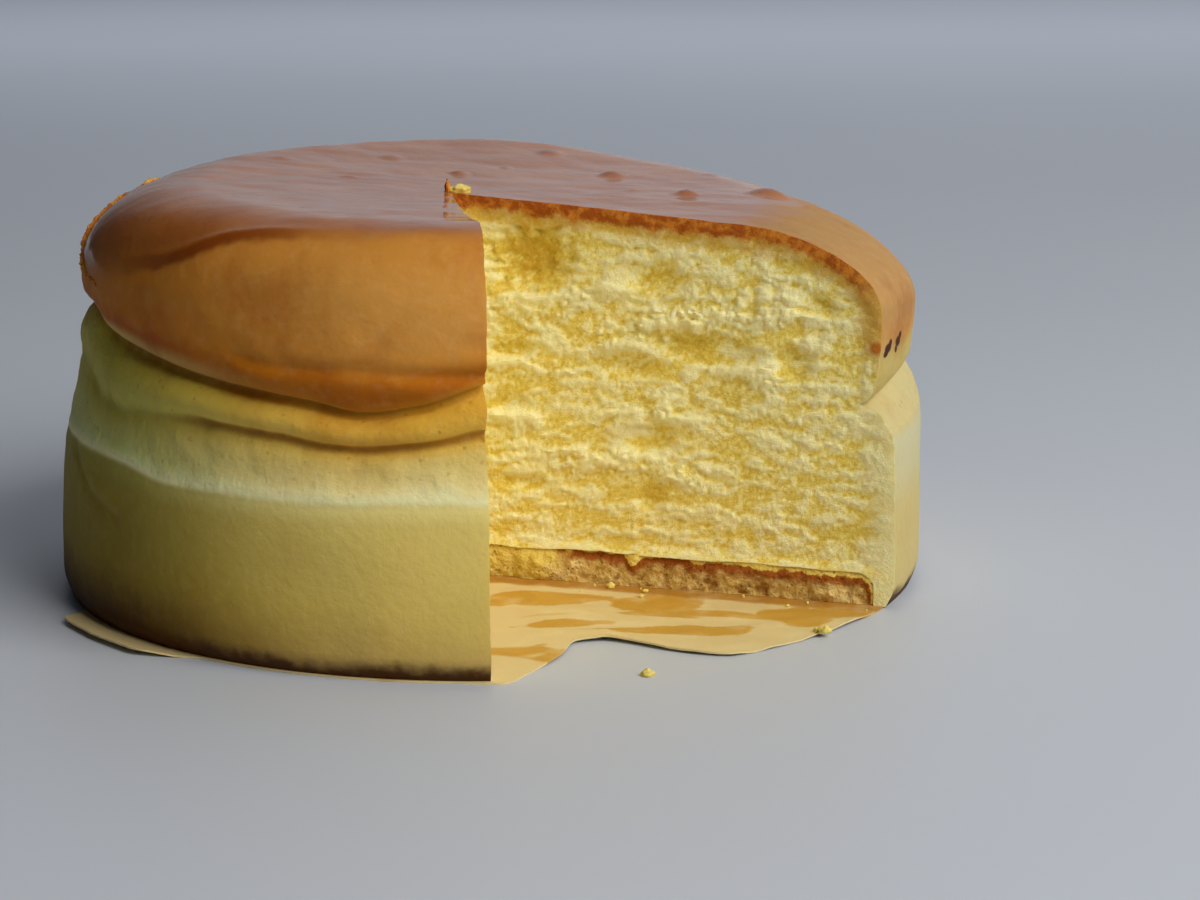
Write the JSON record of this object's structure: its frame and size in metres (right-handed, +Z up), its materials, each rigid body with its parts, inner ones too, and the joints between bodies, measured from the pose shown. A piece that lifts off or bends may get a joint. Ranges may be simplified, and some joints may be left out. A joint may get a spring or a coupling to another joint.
{
  "type": "jiggly cheesecake",
  "caption": "Tall round cotton cheesecake with a glossy browned cap, folded pale sides and a slice missing, on its thin sponge layer and baking paper.",
  "frame": {"origin": "underside of the baking paper, on the axis of the cake tin", "axes": "+Z up through the cake; the missing slice opens towards -Y and +X"},
  "size_m": [0.1803, 0.1795, 0.0852],
  "materials": {
    "cake": "soft pale yellow crumb and wall under a glossy browned top",
    "sponge": "dry tan sponge crumb with a red-brown baked skin",
    "paper": "waxy cream baking paper with greasy golden patches"
  },
  "bodies": {
    "root": {"cheesecake": "cake", "sponge_base": "sponge", "baking_paper": "paper"}
  },
  "joints": []
}
